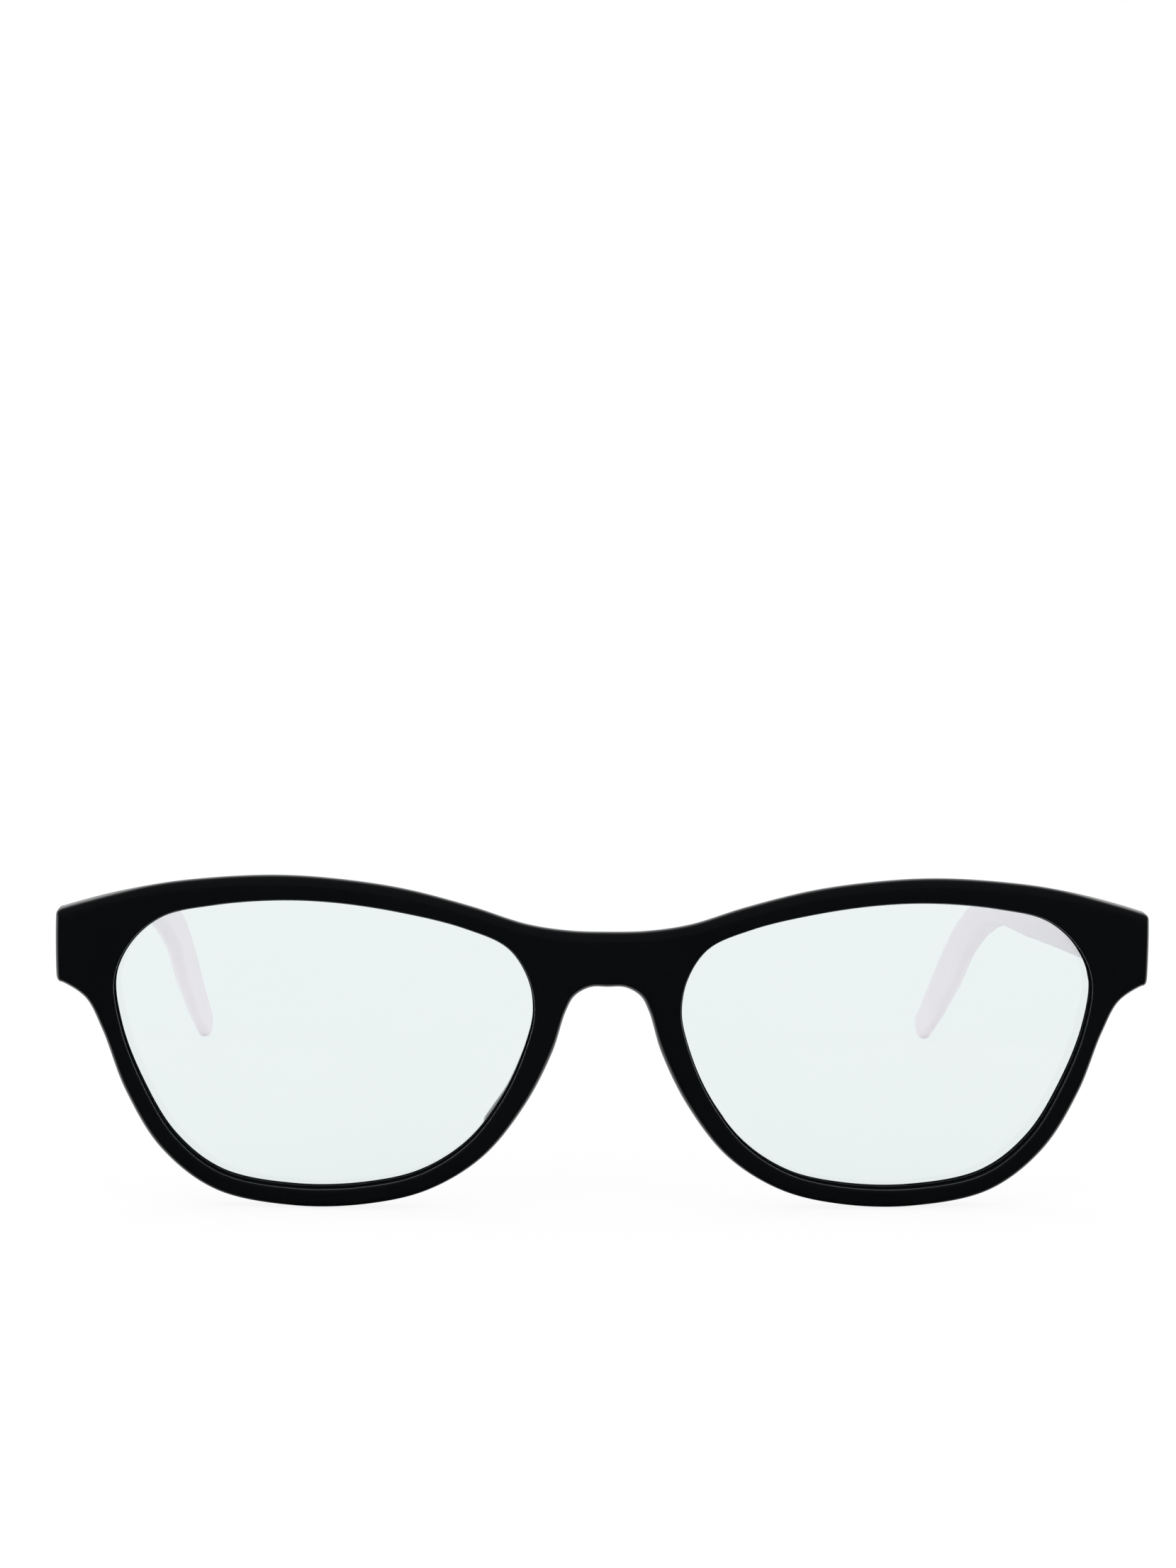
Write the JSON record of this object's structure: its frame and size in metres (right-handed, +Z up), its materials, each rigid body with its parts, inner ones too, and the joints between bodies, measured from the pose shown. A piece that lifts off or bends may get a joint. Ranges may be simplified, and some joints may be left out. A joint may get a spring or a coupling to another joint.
{
  "type": "eyeglass frame",
  "caption": "Full-rim plastic eyeglass frame with a dark front, clear lenses, pale folding arms on barrel hinges and fixed nose pads.",
  "frame": {"origin": "on the surface that the open frame stands on, below the middle of its box", "axes": "+X to the wearer's left, +Y from the front back along the arms, +Z up"},
  "size_m": [0.1382, 0.1446, 0.0422],
  "materials": {
    "front_plastic": "polished dark plastic with softly rounded edges",
    "lens": "clear with a faint green tint",
    "arm_plastic": "milky pink-lilac plastic, a little see-through at its edges",
    "core_wire": "drawn wire",
    "hinge_metal": "satin nickel",
    "screw_steel": "turned steel with a driver slot"
  },
  "bodies": {
    "frame_front": {"front": "front_plastic", "lens_left": "lens", "lens_right": "lens", "nose_pad_left": "front_plastic", "nose_pad_right": "front_plastic", "front_leaf_left": "hinge_metal", "front_leaf_right": "hinge_metal", "hinge_screw_left": "screw_steel", "hinge_screw_right": "screw_steel"},
    "left_arm": {"arm_left": "arm_plastic", "core_wire_left": "core_wire", "arm_leaf_left": "hinge_metal", "leaf_screws_left": "screw_steel"},
    "right_arm": {"arm_right": "arm_plastic", "core_wire_right": "core_wire", "arm_leaf_right": "hinge_metal", "leaf_screws_right": "screw_steel"}
  },
  "joints": [
    {"name": "left_arm_fold", "type": "hinge", "parent": "frame_front", "child": "left_arm", "pos_m": [0.0647, -0.05995, 0.03305], "axis": [0, 0.0598, 0.9982], "range_deg": [0, 88]},
    {"name": "right_arm_fold", "type": "hinge", "parent": "frame_front", "child": "right_arm", "pos_m": [-0.0647, -0.05995, 0.03305], "axis": [0, -0.0598, -0.9982], "range_deg": [0, 78]}
  ]
}
